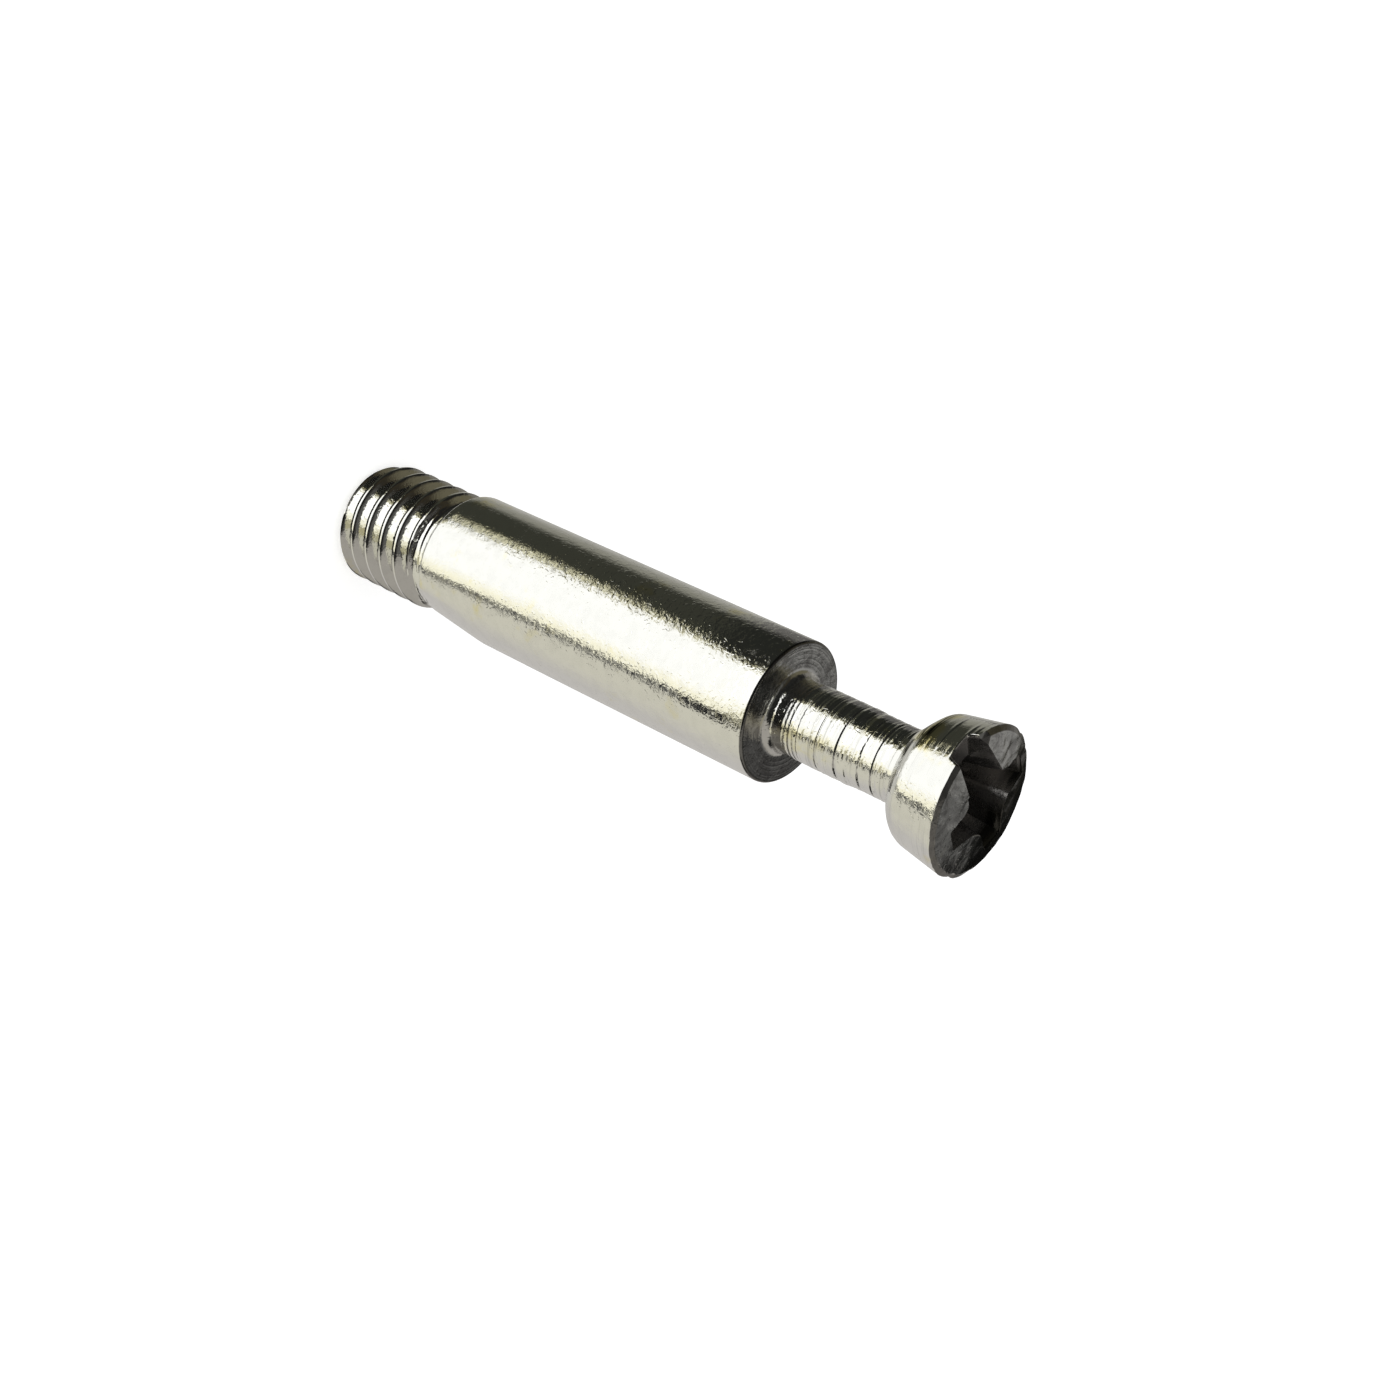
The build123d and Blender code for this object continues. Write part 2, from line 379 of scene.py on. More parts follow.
def neck_rows():
    """Radius and height of the rows of the neck, with its turned rings and steps."""
    height = list(np.arange(SHOULDER + NECK_FILLET, NECK_TOP - 0.02, NECK_SPACING))
    for middle, _, width in NECK_STEPS:
        height = [h for h in height if not -width - 0.02 < h - SHOULDER - middle < 0.4 * width + 0.02]
        height += [SHOULDER + middle + width * share for share in STEP_ROWS]
    height = np.array(sorted(height))
    above = height - SHOULDER
    past_waist = smooth_step(above, WAIST_FROM, WAIST_TO)
    past_root = smooth_step(above, 0.4, 1.3)
    radius = NECK_RADIUS + NECK_SWELL * (1 - past_waist) * past_root - NECK_WAIST * past_waist
    for middle, depth, width in NECK_RINGS:
        radius -= depth * bell(above - middle, width)
    for middle, depth, width in NECK_STEPS:
        radius -= depth * np.interp((above - middle) / width, STEP_PLACES, STEP_DEPTHS)
    coarse = np.array([noise.noise(Vector((0.3, 0.7, h * 5.5))) for h in height])
    fine = np.array([noise.noise(Vector((4.1, 0.2, h * 13))) for h in height])
    return list(zip(radius + NECK_ROUGHNESS * (coarse + 0.6 * fine) * past_root, height))


def head_rows():
    """The head's collar, sloping underside, rounded corner, drafted side and rim, as radius and height."""
    collar = NECK_RADIUS + COLLAR_WIDTH
    collar_top = NECK_TOP + COLLAR_HEIGHT
    out_per_rise, rise_per_out = math.tan(SIDE_DRAFT), math.tan(UNDERSIDE)
    side_foot = HEAD_RADIUS - out_per_rise * (RIM - collar_top)
    corner_out = (side_foot - collar) / (1 - out_per_rise * rise_per_out)
    corner = (collar + corner_out, collar_top + rise_per_out * corner_out)
    turn = math.pi / 2 - SIDE_DRAFT - UNDERSIDE
    setback = CORNER_RADIUS * math.tan(turn / 2)
    arc_foot = (corner[0] - setback * math.cos(UNDERSIDE), corner[1] - setback * math.sin(UNDERSIDE))
    centre = (
        arc_foot[0] - CORNER_RADIUS * math.sin(UNDERSIDE),
        arc_foot[1] + CORNER_RADIUS * math.cos(UNDERSIDE),
    )
    rows = [(NECK_RADIUS, NECK_TOP - 0.02), (NECK_RADIUS + 0.02, NECK_TOP), (collar - 0.02, NECK_TOP + 0.01)]
    rows += [(collar, NECK_TOP + 0.04), (collar, collar_top - 0.03), (collar + 0.02, collar_top)]
    rows += spaced((collar + 0.05, collar_top + 0.05 * rise_per_out), arc_foot, UNDERSIDE_SPACING)[:-1]
    rows += arc_points(centre, CORNER_RADIUS, math.degrees(UNDERSIDE) - 90, -math.degrees(SIDE_DRAFT), 56)
    rows += spaced(rows[-1], (HEAD_RADIUS - 0.01, RIM - 0.06), SIDE_SPACING)[1:]
    rows += [(HEAD_RADIUS, RIM - 0.03), (HEAD_RADIUS, RIM), (HEAD_RADIUS - 0.02, RIM + 0.02)]
    rows += [(HEAD_RADIUS - 0.1, RIM + 0.075), (FACE_RADIUS + 0.03, FACE - 0.02), (FACE_RADIUS, FACE)]
    marked = []
    for radius, height in rows:
        for above, depth, width in HEAD_MARKS:
            radius -= depth * bell(height - SHOULDER - above, width)
        marked.append((radius, height))
    return marked


def dome_height(radius):
    return TOP - DOME_RADIUS + math.sqrt(DOME_RADIUS**2 - radius**2)


def face_height(radius):
    """Height of the domed face, and of the rim's slope outside it."""
    if radius < FACE_RADIUS:
        return dome_height(radius)
    return FACE - (radius - FACE_RADIUS) * (FACE - RIM) / (HEAD_RADIUS - FACE_RADIUS)


def face_rows():
    """The domed end face, from its edge to a small circle about the middle."""
    radius = np.concatenate([np.arange(FACE_RADIUS - 0.06, 0.3, -FACE_SPACING), [0.2, 0.1]])
    return [(r, dome_height(r)) for r in radius]


def revolved(rows, uneven, cap=True):
    """A grid of points on rows about the axis, made uneven. With cap, both ends are closed."""
    turns = np.linspace(0, TURN, COLUMNS, endpoint=False)
    radius = np.array([r for r, _ in rows])[:, None]
    height = np.array([h for _, h in rows])[:, None]
    points = uneven(ring_points(radius, turns, np.broadcast_to(height, (len(rows), COLUMNS))))
    faces = grid_faces(len(rows), COLUMNS)
    if cap:
        faces += end_faces(len(rows), COLUMNS)
    return points, faces


def uneven_barrel(points):
    """Makes the neck's rings uneven and a little wavy, and tapers the shank's lower end on its right."""
    radius = np.hypot(points[:, 0], points[:, 1])
    above_root = smooth_step(points[:, 2], SHOULDER + 0.3, SHOULDER + 0.6)
    on_neck = above_root * smooth_step(NECK_TOP - points[:, 2], 0.32, 0.5)
    rings = points * np.array((0.25, 0.25, 7.0))
    change = 0.016 * wobble(rings, 1.0, 6) + 0.008 * wobble(rings * np.array((2, 2, 2.2)), 1.0, 7)
    limit = SHANK_RADIUS - SIDE_TAPER * (SIDE_TAPER_TOP - points[:, 2])
    on_right = smooth_step(points[:, 0] / radius, 0.6, 0.98)
    taper = (radius - soft_min(radius, limit, SIDE_TAPER_ROUNDING)) * on_right
    points[:, :2] *= (1 + (on_neck * change - taper) / radius.clip(1))[:, None]
    return points


def uneven_head(points):
    """Dents in the punched face, burrs and nicks on its rim, and ridges on the left of the head's side."""
    even = points.copy()
    radius = np.hypot(points[:, 0], points[:, 1])
    on_face = smooth_step(points[:, 2], RIM - 0.05, FACE)
    dents = sum(share * wobble(points, scale, seed) for share, scale, seed in DENTS)
    points[:, 2] -= on_face * DENT_DEPTH * np.clip(dents + 0.35, 0, 1) * smooth_step(radius, 0.6, 1.4)
    lean = smooth_step(-points[:, 0] / radius.clip(0.1), 0.5, 0.95)
    lean = lean * bell(points[:, 2] - NECK_TOP - LEAN_MIDDLE, LEAN_WIDTH)
    points[:, :2] *= (1 - UNDERSIDE_LEAN * lean / radius.clip(1))[:, None]
    on_rim = bell(points[:, 2] - RIM, BURR_WIDTH)
    burrs = sum(share * wobble(points, scale, seed) for share, scale, seed in BURRS)
    burrs = np.clip(burrs + 0.1, 0, 1)
    turns = np.degrees(np.arctan2(points[:, 1], points[:, 0]))
    nicks = sum(depth * bell(turns - turn, RIM_NICK_WIDTH) for turn, depth in RIM_NICKS)
    nicks = nicks * smooth_step(points[:, 2], RIM - 0.3, RIM - 0.1)
    above = points[:, 2] - SHOULDER
    ridges = sum(rise * bell(above - middle, SIDE_RIDGE_WIDTH) for middle, rise in SIDE_RIDGES)
    ridges = ridges * smooth_step(-points[:, 0], 0.9, 1.5) * smooth_step(points[:, 0], -2.85, -2.5)
    inward = HEAD_INSET + on_rim * BURR_DEPTH * burrs + nicks - ridges
    points[:, :2] *= (1 - inward / radius.clip(1))[:, None]
    # The ring where the head meets the barrel stays in place.
    return even + (points - even) * smooth_step(even[:, 2], SEAM, SEAM + 0.1)[:, None]


def new_object(name, points, faces):
    """A mesh object from points in millimetres."""
    mesh = bpy.data.meshes.new(name)
    mesh.from_pydata([tuple(p) for p in np.asarray(points) * MM], [], faces)
    return linked(bpy.data.objects.new(name, mesh))


def linked(thing):
    """Puts an object into the scene."""
    bpy.context.scene.collection.objects.link(thing)
    return thing


def curve_points(start, corner, end, steps):
    """Points on a curve that leaves start towards a corner and arrives at end from it."""
    shares = np.linspace(0, 1, steps + 1)
    return [(1 - s) ** 2 * start + 2 * s * (1 - s) * corner + s**2 * end for s in shares]


def rounded_outline(corners, roundings):
    """A closed outline with each corner turned into a short curve."""
    outline = []
    for index, rounding in enumerate(roundings):
        corner = np.array(corners[index])
        before = np.array(corners[index - 1]) - corner
        after = np.array(corners[(index + 1) % len(corners)]) - corner
        start = corner + before / np.linalg.norm(before) * rounding
        end = corner + after / np.linalg.norm(after) * rounding
        outline += curve_points(start, corner, end, 4)
    return np.array(outline)


def recess_outline(depth):
    """The outline of the four wings at a depth below the top."""
    narrower = WING_DRAFT * depth
    mouth, mouth_half = WING_MOUTH_REACH - narrower, WING_MOUTH_HALF - narrower
    end_half = WING_END_HALF - narrower
    end_rounding = min(END_ROUNDING, end_half * 0.8)
    corners, roundings = [], []
    for quarter in range(4):
        turn = RECESS_TURN + quarter * math.pi / 2
        along = np.array((math.cos(turn), math.sin(turn)))
        across = np.array((-math.sin(turn), math.cos(turn)))
        corners += [mouth * along - mouth_half * across, WING_REACH * along - end_half * across]
        corners += [WING_REACH * along + end_half * across, mouth * along + mouth_half * across]
        roundings += [MOUTH_ROUNDING, end_rounding, end_rounding, MOUTH_ROUNDING]
    outline = rounded_outline(corners, roundings)
    limit = RECESS_MOUTH_RADIUS - RECESS_WALL * depth
    return outline * np.minimum(1, limit / np.linalg.norm(outline, axis=1))[:, None]


def edge_flare(depth):
    """How much wider a cut is at a depth below the face, where its edge is rounded over."""
    share = 1 - min(max(depth / EDGE_ROUNDING, -EDGE_SPREAD_UP_TO), 1)
    rounded = 1 - math.sqrt(max(0.0, 1 - min(share, 1) ** 2))
    return EDGE_ROUNDING * (rounded + max(0.0, share - 1) * EDGE_SPREAD)


def widened(outline, distance):
    """A closed outline moved outwards by a distance."""
    along = np.roll(outline, -1, axis=0) - np.roll(outline, 1, axis=0)
    along /= np.linalg.norm(along, axis=1)[:, None]
    return outline + distance * np.column_stack([along[:, 1], -along[:, 0]])


def recess_cutter():
    """The cross recess, from above the face over its rounded edge down to its point."""
    layers = []
    middle = np.array(RECESS_MIDDLE)
    for depth in EDGE_DEPTHS:
        outline = widened(recess_outline(max(depth, 0)), edge_flare(depth)) + middle
        heights = [face_height(math.hypot(*point)) - depth for point in outline]
        layers.append(np.column_stack([outline, heights]))
    layers.insert(0, layers[0] + np.array((0, 0, CUT_PAST)))
    layers.append(layers[-1] - np.array((0, 0, UPRIGHT_WALL)))
    for depth in np.linspace(SLOPING_WALL_FROM, RECESS_DEPTH, 11):
        outline = recess_outline(depth) + middle
        layers.append(np.column_stack([outline, np.full(len(outline), TOP - depth)]))
    count = len(layers[0])
    floor_radius = RECESS_MOUTH_RADIUS - RECESS_WALL * RECESS_DEPTH
    point = (*RECESS_MIDDLE, TOP - RECESS_DEPTH - floor_radius * POINT_DEPTH_SHARE)
    points = np.vstack(layers + [np.array([point])])
    # The layers go down, so each face is turned over.
    faces = [tuple(range(count))] + [(b, a, d, c) for a, b, c, d in grid_faces(len(layers), count)]
    last = (len(layers) - 1) * count
    for column in range(count):
        faces.append((last + (column + 1) % count, last + column, len(points) - 1))
    return new_object("recess_cutter", points, faces)


def layered_object(name, layers):
    """A closed object from outlines of the same number of points."""
    count = len(layers[0])
    return new_object(name, np.vstack(layers), grid_faces(len(layers), count) + end_faces(len(layers), count))


def open_wing_cutter():
    """The wing that runs out through the rim, as sections from the middle to outside the head."""
    along = np.array((math.cos(OPEN_TURN), math.sin(OPEN_TURN), 0))
    across = np.array((math.sin(OPEN_TURN), -math.cos(OPEN_TURN), 0))
    middle = np.array((*RECESS_MIDDLE, 0)) + OPEN_SHIFT * across

    def reach(out, x):
        return math.hypot(*(middle + along * out + across * x)[:2])

    def wall_rows(out, side):
        """One wall of the section, from the floor to above the head, as sideways place and height."""
        floor = RIM - OPEN_RIM_DEPTH + OPEN_SLOPE * (out - HEAD_RADIUS)
        foot = side * OPEN_FLOOR_HALF
        wall = [(foot + side * sideways, floor + up) for sideways, up in FLOOR_CORNER]
        for depth in reversed(EDGE_DEPTHS):
            top = face_height(min(reach(out, foot), HEAD_RADIUS)) - depth
            wall.append((foot + side * (OPEN_DRAFT * (top - floor) + edge_flare(depth)), top))
        wall.append((wall[-1][0], TOP + CUT_PAST))
        # The wing's upright edges are rounded over too.
        opened = []
        for x, z in wall:
            outside = HEAD_RADIUS - math.tan(SIDE_DRAFT) * max(0, RIM - z)
            flare = edge_flare((outside - 0.01 - reach(out, x)) / CORNER_OPENING)
            opened.append((x + side * CORNER_OPENING * flare, z))
        return opened

    layers = []
    for out in np.concatenate([np.linspace(0.0, 2.7, 19), np.linspace(2.74, 3.6, 44), [3.8, 4.2]]):
        rows = wall_rows(out, -1) + wall_rows(out, 1)[::-1]
        layers.append([middle + along * out + across * x + np.array((0, 0, z)) for x, z in rows])
    return layered_object("open_wing_cutter", layers)


def facet_cutter():
    """A wedge that slopes the corner between the rim and the open wing."""
    far = FACET_CREASE - FACET_REACH
    foot, top = FACE + FACET_LIFT, TOP + CUT_PAST
    low = foot + FACET_SLOPE * (far - FACET_CREASE)
    profile = [(FACET_CREASE, foot), (FACET_CREASE + 0.25, top), (far, top), (far, low)]
    points = [(x, y + lean, z) for x, lean in ((-3.9, 0.12), (-1.3, -0.12)) for y, z in profile]
    faces = [(0, 1, 2, 3), (7, 6, 5, 4)] + [(i, (i + 1) % 4, (i + 1) % 4 + 4, i + 4) for i in range(4)]
    return new_object("facet_cutter", points, faces)


def petal_cutter():
    """Rounds the tip of the petal beside the open wing, less and less towards the floor."""
    first, second = np.array(PETAL_EDGES[0]), np.array(PETAL_EDGES[1])
    layers = []
    for depth in np.linspace(PETAL_FROM, PETAL_TO, 10):
        drawn = max(depth, 0)
        tip = np.array(PETAL_TIP) - second * OPEN_DRAFT * drawn - first * WING_DRAFT * drawn
        rounding = PETAL_ROUNDING * (1 - PETAL_ROUNDING_LOSS * drawn)
        start, end = tip + first * rounding, tip + second * rounding
        outline = [start - second * PETAL_PAST] + curve_points(start, tip, end, 12)
        outline += [end - first * PETAL_PAST, tip - (first + second) * PETAL_PAST]
        layers.append([(*point, TOP - 0.05 - depth) for point in outline])
    return layered_object("petal_cutter", layers)


def fix_normals(piece):
    work = bmesh.new()
    work.from_mesh(piece.data)
    bmesh.ops.recalc_face_normals(work, faces=work.faces)
    work.to_mesh(piece.data)
    work.free()


def cut(piece, cutter):
    """Takes the cutter out of the piece and deletes it. The cut's faces get the second material."""
    fix_normals(cutter)
    for index in range(2):
        material = bpy.data.materials.get(f"cut_{index}") or bpy.data.materials.new(f"cut_{index}")
        if len(piece.data.materials) < 2:
            piece.data.materials.append(material)
        cutter.data.materials.append(material)
    for face in cutter.data.polygons:
        face.material_index = 1
    change = piece.modifiers.new("cut", "BOOLEAN")
    change.operation = "DIFFERENCE"
    change.solver = "EXACT"
    change.object = cutter
    bpy.context.view_layer.objects.active = piece
    bpy.ops.object.modifier_apply(modifier=change.name)
    bpy.data.objects.remove(cutter)


def mark_recess(piece):
    """Stores which faces were punched, for the material, and gives them all one material again."""
    inside = [float(face.material_index == 1) for face in piece.data.polygons]
    layer = piece.data.attributes.new("recess", "FLOAT", "FACE")
    layer.data.foreach_set("value", inside)
    for face in piece.data.polygons:
        face.material_index = 0
    piece.data.materials.clear()


def open_below(piece, height):
    """Deletes the faces that lie wholly below a height."""
    work = bmesh.new()
    work.from_mesh(piece.data)
    low = [face for face in work.faces if all(vertex.co.z < height * MM for vertex in face.verts)]
    bmesh.ops.delete(work, geom=low, context="FACES_ONLY")
    work.to_mesh(piece.data)
    work.free()


def joined(name, pieces):
    """One mesh of several, with points that meet made one."""
    work = bmesh.new()
    for piece in pieces:
        work.from_mesh(piece.data)
    bmesh.ops.remove_doubles(work, verts=work.verts, dist=MERGE_DISTANCE * MM)
    bmesh.ops.dissolve_degenerate(work, edges=work.edges, dist=MERGE_DISTANCE * MM * 0.5)
    bmesh.ops.recalc_face_normals(work, faces=work.faces)
    mesh = bpy.data.meshes.new(name)
    work.to_mesh(mesh)
    work.free()
    for piece in pieces:
        bpy.data.objects.remove(piece)
    return linked(bpy.data.objects.new(name, mesh))


def make_dowel():
    head = new_object("head", *revolved([(NECK_RADIUS, SEAM)] + head_rows() + face_rows(), uneven_head))
    fix_normals(head)
    for cutter in (recess_cutter, open_wing_cutter, petal_cutter, facet_cutter):
        cut(head, cutter())
    mark_recess(head)
    thread = new_object("thread", *thread_mesh())
    neck = [row for row in neck_rows()[1:] if row[1] < SEAM - 0.01] + [(NECK_RADIUS, SEAM)]
    barrel = new_object("barrel", *revolved(shank_rows() + neck, uneven_barrel, cap=False))
    foot = new_object("foot", *foot_mesh())
    open_below(head, SEAM + 0.001)
    dowel = joined("zinc_cam_dowel", [head, thread, barrel, foot])
    dowel.data.shade_smooth()
    dowel.data.set_sharp_from_angle(angle=SHARP_ANGLE)
    return dowel


class Net:
    """Adds nodes to one node tree. A value is a number, a colour or the output of another node."""

    def __init__(self, tree):
        self.nodes, self.links = tree.nodes, tree.links

    def set(self, socket, value):
        if isinstance(value, bpy.types.NodeSocket):
            self.links.new(value, socket)
        elif isinstance(value, tuple) and len(value) == 3 and len(socket.default_value) == 4:
            socket.default_value = (*value, 1)
        else:
            socket.default_value = value

    def output(self, kind, name):
        return self.nodes.new(kind).outputs[name]

    def math(self, operation, *values):
        node = self.nodes.new("ShaderNodeMath")
        node.operation = operation
        for socket, value in zip(node.inputs, values):
            self.set(socket, value)
        return node.outputs[0]

    def times(self, first, *others):
        for other in others:
            first = self.math("MULTIPLY", first, other)
        return first

    def plus(self, first, second):
        return self.math("ADD", first, second)

    def minus(self, first, second):
        return self.math("SUBTRACT", first, second)

    def clamped(self, value, low, high):
        return self.math("MINIMUM", self.math("MAXIMUM", value, low), high)

    def ramp(self, value, low, high, start=0.0, end=1.0):
        """A smooth change from start to end as the value goes from low to high."""
        node = self.nodes.new("ShaderNodeMapRange")
        node.interpolation_type = "SMOOTHSTEP"
        numbers = (("From Min", low), ("From Max", high), ("To Min", start), ("To Max", end))
        for name, number in (("Value", value), *numbers):
            self.set(node.inputs[name], number)
        return node.outputs["Result"]

    def fall(self, value, low, high):
        return self.ramp(value, low, high, 1.0, 0.0)

    def band(self, value, foot, top, end, out):
        """Rises from 0 to 1 between foot and top, and falls back between end and out."""
        return self.times(self.ramp(value, foot, top), self.fall(value, end, out))

    def mix(self, share, below, above):
        node = self.nodes.new("ShaderNodeMix")
        node.data_type = "RGBA"
        self.set(node.inputs["Factor"], share)
        sockets = {socket.name: socket for socket in node.inputs if socket.type == "RGBA"}
        self.set(sockets["A"], below)
        self.set(sockets["B"], above)
        return [socket for socket in node.outputs if socket.type == "RGBA"][0]

    def scaled(self, vector, factor):
        node = self.nodes.new("ShaderNodeVectorMath")
        node.operation = "SCALE"
        self.set(node.inputs["Vector"], vector)
        self.set(node.inputs["Scale"], factor)
        return node.outputs["Vector"]

    def split(self, vector):
        node = self.nodes.new("ShaderNodeSeparateXYZ")
        self.set(node.inputs[0], vector)
        return node.outputs[:]

    def combine(self, *values):
        node = self.nodes.new("ShaderNodeCombineXYZ")
        for socket, value in zip(node.inputs, values):
            self.set(socket, value)
        return node.outputs[0]

    def noise(self, vector, scale, detail, roughness, distortion=0.0):
        node = self.nodes.new("ShaderNodeTexNoise")
        self.set(node.inputs["Vector"], vector)
        numbers = (("Scale", scale), ("Detail", detail), ("Roughness", roughness), ("Distortion", distortion))
        for name, number in numbers:
            self.set(node.inputs[name], number)
        return node.outputs["Fac"]

    def bump(self, height, distance, before=None):
        """A bump whose height of 1 stands so many millimetres proud."""
        node = self.nodes.new("ShaderNodeBump")
        node.inputs["Distance"].default_value = distance * MM
        self.set(node.inputs["Height"], height)
        if before is not None:
            self.set(node.inputs["Normal"], before)
        return node.outputs["Normal"]

    def light(self, value, strength=1.0):
        node = self.nodes.new("ShaderNodeBackground")
        self.set(node.inputs["Color"], value)
        node.inputs["Strength"].default_value = strength
        return node.outputs[0]

    def choose(self, share, first, second):
        node = self.nodes.new("ShaderNodeMixShader")
        for socket, value in zip(node.inputs, (share, first, second)):
            self.set(socket, value)
        return node.outputs[0]


class Plate:
    """Bright zinc plate: a mirror with a fine orange peel, turned rings and stains, rougher in the recess.
    Painted shade darkens the recess, the rim, the shoulder's edge and right, and the back of the end face.
    """

    def __init__(self, net):
        self.net = net
        # Millimetres on the dowel
        self.place = net.scaled(net.output("ShaderNodeTexCoord", "Object"), 1 / MM)
        self.x, self.y, self.z = net.split(self.place)
        self.radius = net.math("SQRT", net.plus(net.times(self.x, self.x), net.times(self.y, self.y)))
        self.facing_up = net.ramp(net.split(net.output("ShaderNodeNewGeometry", "Normal"))[2], 0.55, 0.9)
        punched = net.nodes.new("ShaderNodeAttribute")
        punched.attribute_name = "recess"
        # The painted recess shade and the recess's extra roughness leave out the outer ends of the open
        # wing's walls, which mirror as bright zinc.
        self.punched = net.times(punched.outputs["Fac"], net.fall(self.radius, 3.05, 3.12))
        self.haze = net.noise(self.place, 1.9, 3.0, 0.6)
        # The end face and the shoulder outside the neck's fillet face up. They show scuffs, and parts of them
        # get painted shade.
        outside_fillet = net.math("MAXIMUM", net.ramp(self.radius, 1.95, 2.08), net.ramp(self.z, 30, 31))
        self.flat_tops = net.times(self.facing_up, net.ramp(self.z, 25.5, 26.0), outside_fillet)
        # Turned rings follow the outline: the height and the radius together grow along it.
        along = net.plus(self.z, self.radius)
        turned = net.combine(net.times(self.x, 0.26), net.times(self.y, 0.26), net.times(along, 8.0))
        self.rings = net.noise(turned, 1.0, 3.0, 0.65)

    def stain(self):
        """Yellow stains gather under the head on its left, low on the shank and on the neck's right."""
        net, x, z = self.net, self.x, self.z
        stain = net.noise(self.place, 0.52, 4.0, 0.65)
        near_head = net.times(net.band(z, 32.2, 32.8, 33.6, 34.5), net.fall(x, -1.2, -0.6))
        near_thread = net.band(z, 4.5, 6.6, 8.0, 13.0)
        near_neck = net.times(net.band(z, 26.2, 26.4, 28.8, 29.8), net.ramp(x, 0.3, 0.6))
        for place, amount in ((near_head, 0.26), (near_thread, 0.05), (near_neck, 0.14)):
            stain = net.plus(stain, net.times(place, amount))
        return net.ramp(stain, 0.6, 0.8)

    def colour(self):
        net, x, y, z = self.net, self.x, self.y, self.z
        colour = net.mix(self.stain(), ZINC, ZINC_STAINED)
        colour = net.mix(net.ramp(self.haze, 0.35, 0.7, 0.0, 0.25), colour, ZINC_DULL)
        scuffs = net.times(net.ramp(net.noise(self.place, 1.3, 5.0, 0.7, 0.6), 0.42, 0.62), self.flat_tops)
        colour = net.mix(net.times(scuffs, 0.75), colour, FACE_SCUFFED)
        # Painted shade: the shoulder is darker on its right and at its edge, the end face at the back and in
        # its back right corner, and the rim all round.
        on_shoulder = net.fall(z, 26.5, 27.0)
        on_end = net.ramp(z, 35.0, 35.5)
        shoulder_right = net.times(self.flat_tops, on_shoulder, net.ramp(x, -0.5, 2.2))
        end_back = net.times(self.flat_tops, on_end, net.ramp(y, 0.3, 1.7))
        end_corner = net.times(net.ramp(net.minus(y, net.times(x, 0.2)), 0.4, 0.8), net.ramp(x, 0.6, 1.2))
        end_corner = net.times(self.flat_tops, on_end, end_corner)
        shoulder_edge = net.times(net.ramp(self.radius, 3.05, 3.09), net.ramp(z, 25.97, 26.01), on_shoulder)
        rim = net.times(net.ramp(self.radius, 3.02, 3.08), net.ramp(z, 35.63, 35.66))
        shades = (
            (shoulder_right, 0.6, PAINTED_SHADE_COLOUR), (end_back, 0.88, PAINTED_SHADE_COLOUR), (end_corner, 0.8, SHADE_AND_STREAK_COLOUR),
            (shoulder_edge, 0.85, PAINTED_SHADE_COLOUR), (rim, 0.8, PAINTED_SHADE_COLOUR),
        )
        for place, strength, shade in shades:
            colour = net.mix(net.times(place, strength), colour, shade)
        lines = net.times(net.ramp(self.rings, 0.54, 0.66), net.ramp(z, 25.9, 26.1))
        colour = net.mix(net.times(lines, net.ramp(z, 32.6, 33.2, 0.45, 0.25)), colour, RING_COLOUR)
        # Darker streaks along the turned rings lie on the left of the head's rounded corner.
        dark_streaks = net.times(net.band(z, 33.18, 33.3, 33.7, 33.9), net.fall(x, -1.6, -1.2))
        dark_streaks = net.times(dark_streaks, net.ramp(self.rings, 0.5, 0.6, 1.0, 0.1))
        colour = net.mix(dark_streaks, colour, SHADE_AND_STREAK_COLOUR)
        # Painted shade: the punched recess is darker, and its back darker still.
        colour = net.mix(self.punched, colour, RECESS_SHADE_COLOUR)
        back = net.times(net.ramp(y, 1.4, 1.9), net.ramp(z, 35.1, 35.4))
        return net.mix(net.times(back, self.punched), colour, SHADE_AND_STREAK_COLOUR)

    def roughness(self):
        net, z = self.net, self.z
        rough = net.ramp(self.haze, 0.3, 0.7, 0.07, 0.13)
        rough = net.plus(rough, net.times(self.flat_tops, net.ramp(z, 30, 31, 0.1, 0.06)))
        rough = net.plus(rough, net.times(net.band(z, 32.5, 32.7, 32.9, 33.3), 0.3))
        blotches = net.ramp(net.noise(self.place, 1.5, 5.0, 0.7, 1.2), 0.54, 0.68)
        blotches = net.times(blotches, net.minus(1.0, self.facing_up))
        rough = net.plus(rough, net.times(blotches, 0.16))
        rough = net.times(rough, net.ramp(z, 5.6, 6.2, 0.55, 1.0))
        return net.plus(rough, net.times(self.punched, 0.18))

    def normal(self):
        net, x, z = self.net, self.x, self.z
        rings = net.times(self.rings, net.ramp(z, 25.5, 26.2), net.ramp(z, 32.6, 33.2, 1.0, 0.35))
        flatter = net.times(self.facing_up, net.ramp(z, 26.5, 27.0, 0.5, 0.9))
        rings = net.times(rings, net.minus(1.0, flatter))
